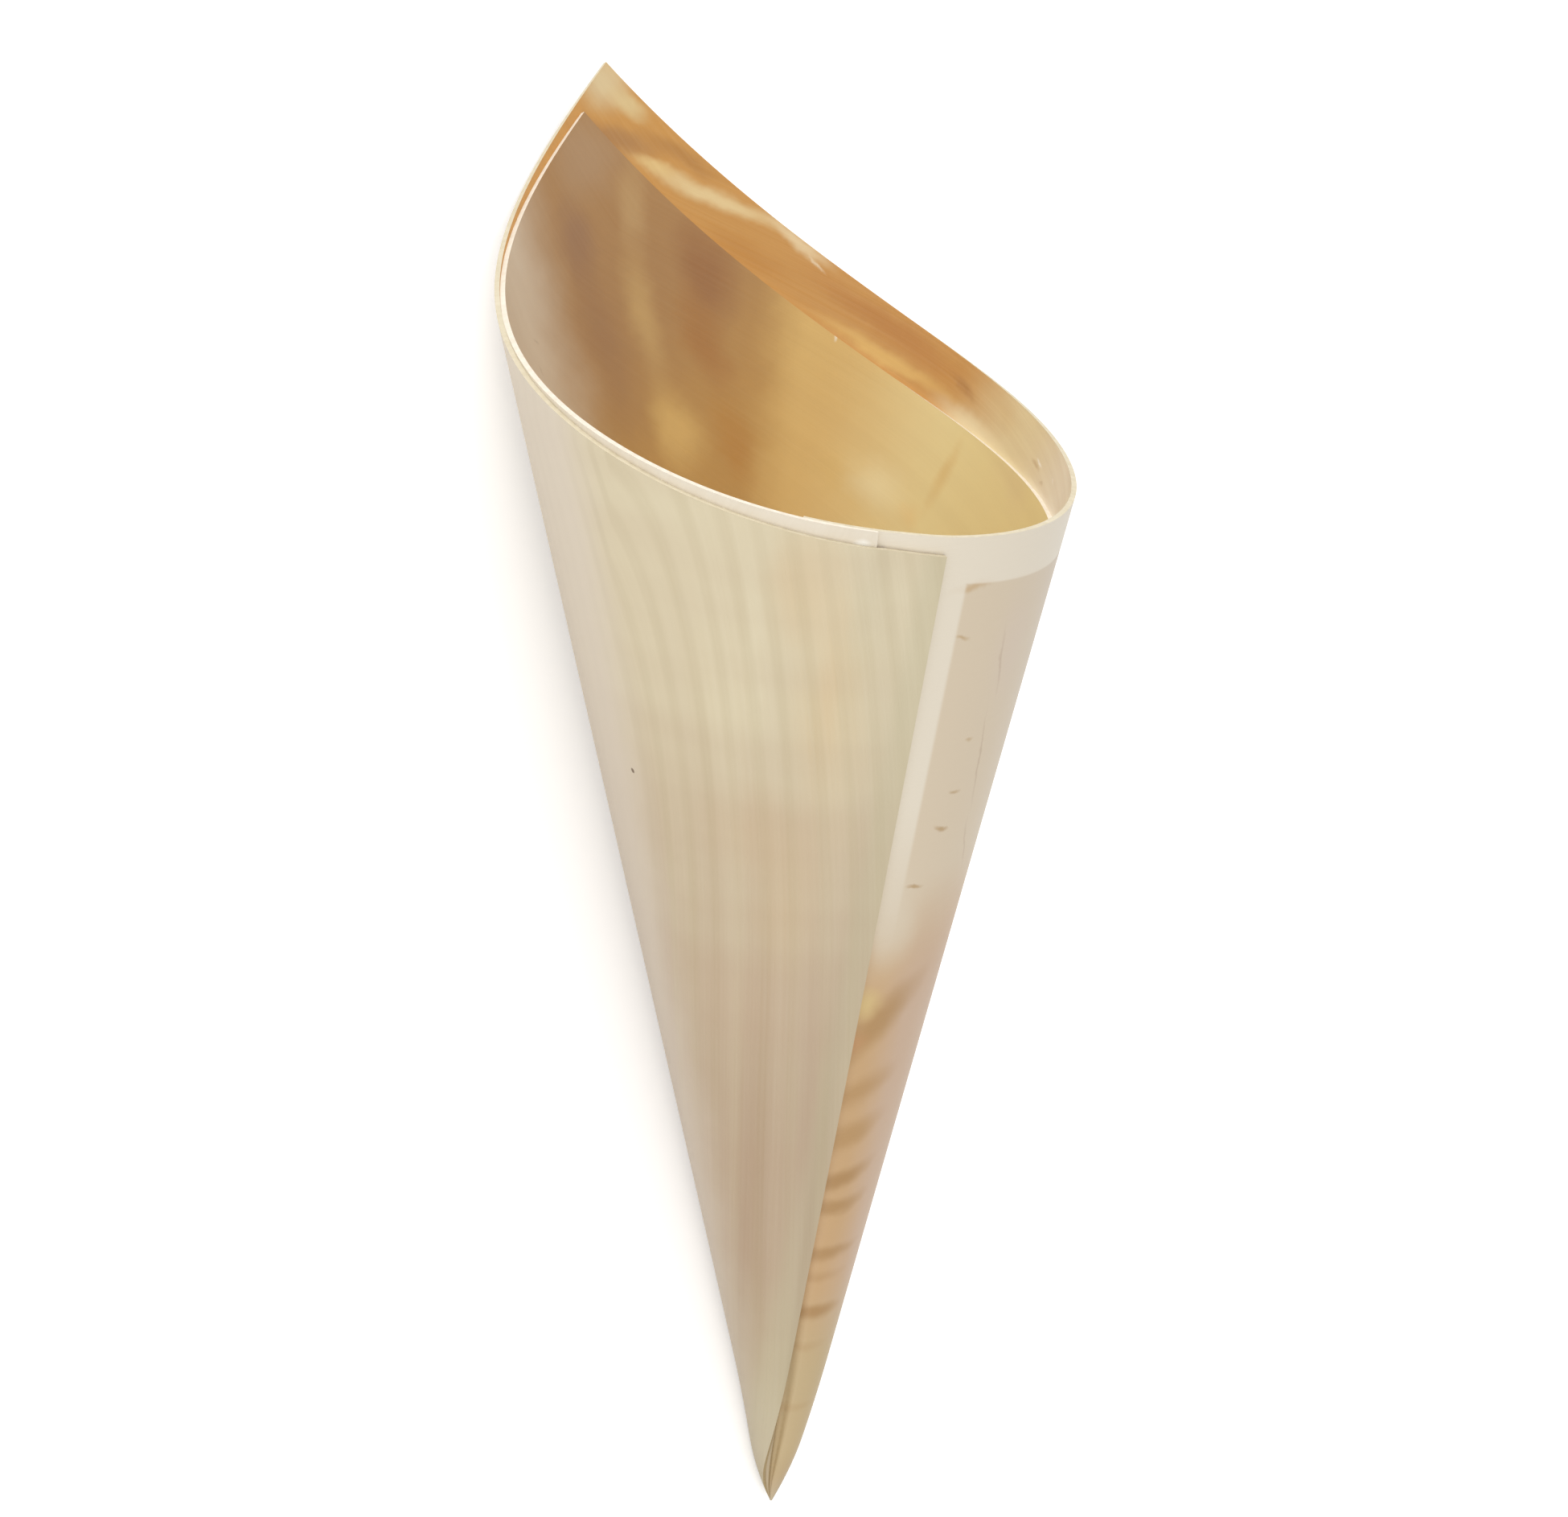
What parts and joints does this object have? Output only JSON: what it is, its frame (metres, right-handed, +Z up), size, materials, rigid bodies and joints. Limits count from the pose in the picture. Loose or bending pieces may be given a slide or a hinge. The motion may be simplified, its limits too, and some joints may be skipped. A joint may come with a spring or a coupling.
{
  "type": "serving cone",
  "caption": "Thin wooden serving cone rolled from square pine veneers glued face to face, open at the top, with a tall pointed back lip and an overlapping seam down the front.",
  "frame": {"origin": "bottom centre of the box round the cone as it lies on its side, with the lowest line of its wall on z = 0", "axes": "+Y from the mouth to the cone's point, along the line of the wall that lies on the surface; +Z up; +X to the side"},
  "size_m": [0.0702, 0.1788, 0.0648],
  "materials": {
    "outer_veneer": "satin",
    "inner_veneer": "satin"
  },
  "bodies": {
    "root": {"outer_veneer": "outer_veneer", "inner_veneer": "inner_veneer"}
  },
  "joints": []
}
